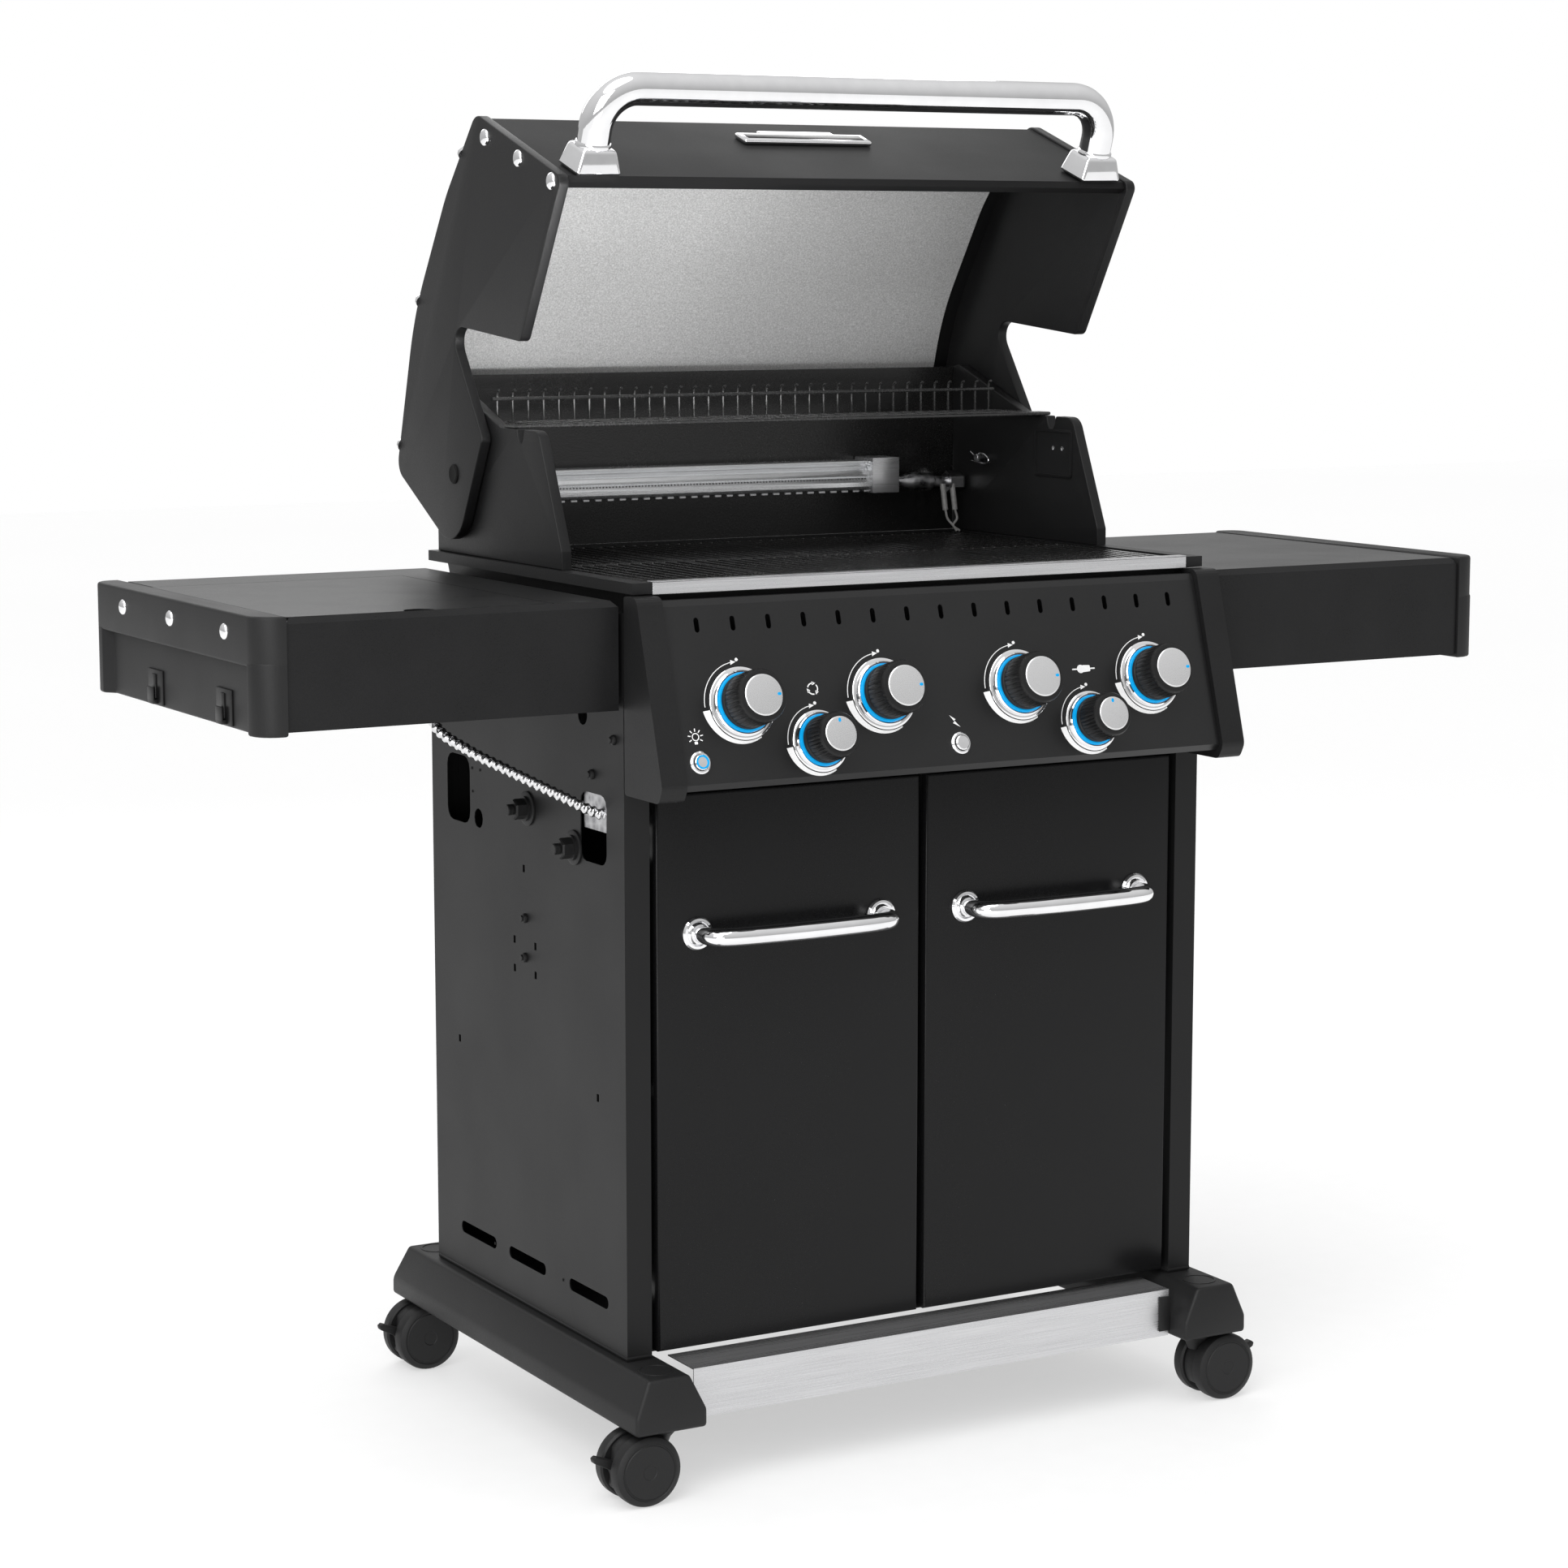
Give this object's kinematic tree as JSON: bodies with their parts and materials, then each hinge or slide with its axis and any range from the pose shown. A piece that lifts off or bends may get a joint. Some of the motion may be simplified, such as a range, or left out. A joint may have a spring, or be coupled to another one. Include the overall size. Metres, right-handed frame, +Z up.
{
  "type": "gas barbecue grill",
  "caption": "Gas barbecue grill with hinged hood, sloped control panel with knobs, side tables, side burner and a double-door cabinet on swivel casters.",
  "frame": {"origin": "on the floor, under the centre of the whole grill's bounding box", "axes": "+X to the grill's right-hand table seen from the front, -Y the way the doors face, +Z up"},
  "size_m": [1.46, 0.6513, 1.4182],
  "materials": {
    "black_paint": "satin black paint",
    "gloss_paint": "smooth semi-gloss black paint",
    "cast_black": "black-painted casting, fine texture",
    "black_plastic": "fine-grained matt moulding",
    "cast_iron": "dark matt enamel",
    "stainless": "brushed",
    "chrome": "polished",
    "brass": "machined"
  },
  "bodies": {
    "grill_body": {"side_panel_left": "black_paint", "side_panel_right": "black_paint", "cabinet_floor": "black_paint", "rear_panel": "black_paint", "firebox_rear_wall": "black_paint", "side_table_left": "black_paint", "side_table_right": "black_paint", "control_panel": "gloss_paint", "firebox": "cast_black", "firebox_side_left": "cast_black", "firebox_side_right": "cast_black", "panel_end_cap_left": "cast_black", "panel_end_cap_right": "cast_black", "cooking_grid_1": "cast_iron", "cooking_grid_2": "cast_iron", "cooking_grid_3": "cast_iron", "cooking_grid_4": "cast_iron", "warming_rack": "cast_iron", "side_burner_grate": "cast_iron", "front_trim": "stainless", "grease_tray": "stainless", "main_burners": "stainless", "flame_tamer": "stainless", "rotisserie_burner": "stainless", "side_burner": "stainless", "gas_line": "stainless", "gas_manifold": "brass", "foot_rail_left": "black_plastic", "foot_rail_right": "black_plastic", "table_end_cap_left": "black_plastic", "table_end_cap_right": "black_plastic"},
    "lid": {"lid_shell": "black_paint", "lid_end_left": "cast_black", "lid_end_right": "cast_black", "lid_handle": "chrome"},
    "door_left": {"door_left": "gloss_paint", "door_handle_left": "chrome"},
    "door_right": {"door_right": "gloss_paint", "door_handle_right": "chrome"},
    "burner_knob_1": {"burner_knob_1": "black_plastic"},
    "burner_knob_2": {"burner_knob_2": "black_plastic"},
    "burner_knob_3": {"burner_knob_3": "black_plastic"},
    "burner_knob_4": {"burner_knob_4": "black_plastic"},
    "side_burner_knob": {"side_burner_knob": "black_plastic"},
    "rotisserie_knob": {"rotisserie_knob": "black_plastic"},
    "light_button": {"light_button": "chrome"},
    "ignition_button": {"ignition_button": "chrome"},
    "side_burner_lid": {"side_burner_lid": "black_paint"},
    "caster_front_left_swivel": {"caster_front_left_hood": "black_plastic"},
    "caster_front_left_wheels": {"caster_front_left_wheels": "black_plastic"},
    "caster_front_left_brake": {"caster_front_left_brake": "black_plastic"},
    "caster_front_right_swivel": {"caster_front_right_hood": "black_plastic"},
    "caster_front_right_wheels": {"caster_front_right_wheels": "black_plastic"},
    "caster_front_right_brake": {"caster_front_right_brake": "black_plastic"},
    "caster_rear_left_swivel": {"caster_rear_left_hood": "black_plastic"},
    "caster_rear_left_wheels": {"caster_rear_left_wheels": "black_plastic"},
    "caster_rear_left_brake": {"caster_rear_left_brake": "black_plastic"},
    "caster_rear_right_swivel": {"caster_rear_right_hood": "black_plastic"},
    "caster_rear_right_wheels": {"caster_rear_right_wheels": "black_plastic"},
    "caster_rear_right_brake": {"caster_rear_right_brake": "black_plastic"}
  },
  "joints": [
    {"name": "lid_hinge", "type": "hinge", "parent": "grill_body", "child": "lid", "pos_m": [0, 0.1778, 1.0059], "axis": [1, 0, 0], "range_deg": [0, 61]},
    {"name": "door_left_hinge", "type": "hinge", "parent": "grill_body", "child": "door_left", "pos_m": [-0.3152, -0.2136, 0.422], "axis": [0, 0, -1], "range_deg": [0, 110]},
    {"name": "door_right_hinge", "type": "hinge", "parent": "grill_body", "child": "door_right", "pos_m": [0.3152, -0.2136, 0.422], "axis": [0, 0, 1], "range_deg": [0, 110]},
    {"name": "burner_knob_1_turn", "type": "hinge", "parent": "grill_body", "child": "burner_knob_1", "pos_m": [-0.2439, -0.26573, 0.80022], "axis": [0, -0.9578, 0.2873], "range_deg": [-270, 0]},
    {"name": "burner_knob_2_turn", "type": "hinge", "parent": "grill_body", "child": "burner_knob_2", "pos_m": [-0.0813, -0.26573, 0.80022], "axis": [0, -0.9578, 0.2873], "range_deg": [-270, 0]},
    {"name": "burner_knob_3_turn", "type": "hinge", "parent": "grill_body", "child": "burner_knob_3", "pos_m": [0.0813, -0.26573, 0.80022], "axis": [0, -0.9578, 0.2873], "range_deg": [-270, 0]},
    {"name": "burner_knob_4_turn", "type": "hinge", "parent": "grill_body", "child": "burner_knob_4", "pos_m": [0.2439, -0.26573, 0.80022], "axis": [0, -0.9578, 0.2873], "range_deg": [-270, 0]},
    {"name": "side_burner_knob_turn", "type": "hinge", "parent": "grill_body", "child": "side_burner_knob", "pos_m": [-0.1625, -0.27809, 0.75903], "axis": [0, -0.9578, 0.2873], "range_deg": [0, 270]},
    {"name": "rotisserie_knob_turn", "type": "hinge", "parent": "grill_body", "child": "rotisserie_knob", "pos_m": [0.1625, -0.27809, 0.75903], "axis": [0, -0.9578, 0.2873], "range_deg": [0, 270]},
    {"name": "light_button_push", "type": "slide", "parent": "grill_body", "child": "light_button", "axis": [0, 0.9578, -0.2873], "range_m": [0, 0.0025], "stiffness_N_per_m": 400, "springref_m": -0.002},
    {"name": "ignition_button_push", "type": "slide", "parent": "grill_body", "child": "ignition_button", "axis": [0, 0.9578, -0.2873], "range_m": [0, 0.0025], "stiffness_N_per_m": 400, "springref_m": -0.002},
    {"name": "side_burner_lid_hinge", "type": "hinge", "parent": "grill_body", "child": "side_burner_lid", "pos_m": [-0.55825, 0.16, 0.9045], "axis": [-1, 0, 0], "range_deg": [0, 95]},
    {"name": "caster_front_left_swivel_turn", "type": "hinge", "parent": "grill_body", "child": "caster_front_left_swivel", "pos_m": [-0.33, -0.248, 0.076], "axis": [0, 0, 1], "continuous": true},
    {"name": "caster_front_left_wheels_roll", "type": "hinge", "parent": "caster_front_left_swivel", "child": "caster_front_left_wheels", "pos_m": [-0.355, -0.248, 0.0365], "axis": [0, 1, 0], "continuous": true},
    {"name": "caster_front_left_brake_press", "type": "hinge", "parent": "caster_front_left_swivel", "child": "caster_front_left_brake", "pos_m": [-0.383, -0.248, 0.0405], "axis": [0, -1, 0], "range_deg": [0, 20]},
    {"name": "caster_front_right_swivel_turn", "type": "hinge", "parent": "grill_body", "child": "caster_front_right_swivel", "pos_m": [0.33, -0.248, 0.076], "axis": [0, 0, 1], "continuous": true},
    {"name": "caster_front_right_wheels_roll", "type": "hinge", "parent": "caster_front_right_swivel", "child": "caster_front_right_wheels", "pos_m": [0.355, -0.248, 0.0365], "axis": [0, 1, 0], "continuous": true},
    {"name": "caster_front_right_brake_press", "type": "hinge", "parent": "caster_front_right_swivel", "child": "caster_front_right_brake", "pos_m": [0.383, -0.248, 0.0405], "axis": [0, 1, 0], "range_deg": [0, 20]},
    {"name": "caster_rear_left_swivel_turn", "type": "hinge", "parent": "grill_body", "child": "caster_rear_left_swivel", "pos_m": [-0.33, 0.282, 0.076], "axis": [0, 0, 1], "continuous": true},
    {"name": "caster_rear_left_wheels_roll", "type": "hinge", "parent": "caster_rear_left_swivel", "child": "caster_rear_left_wheels", "pos_m": [-0.355, 0.282, 0.0365], "axis": [0, 1, 0], "continuous": true},
    {"name": "caster_rear_left_brake_press", "type": "hinge", "parent": "caster_rear_left_swivel", "child": "caster_rear_left_brake", "pos_m": [-0.383, 0.282, 0.0405], "axis": [0, -1, 0], "range_deg": [0, 20]},
    {"name": "caster_rear_right_swivel_turn", "type": "hinge", "parent": "grill_body", "child": "caster_rear_right_swivel", "pos_m": [0.33, 0.282, 0.076], "axis": [0, 0, 1], "continuous": true},
    {"name": "caster_rear_right_wheels_roll", "type": "hinge", "parent": "caster_rear_right_swivel", "child": "caster_rear_right_wheels", "pos_m": [0.355, 0.282, 0.0365], "axis": [0, 1, 0], "continuous": true},
    {"name": "caster_rear_right_brake_press", "type": "hinge", "parent": "caster_rear_right_swivel", "child": "caster_rear_right_brake", "pos_m": [0.383, 0.282, 0.0405], "axis": [0, 1, 0], "range_deg": [0, 20]}
  ]
}
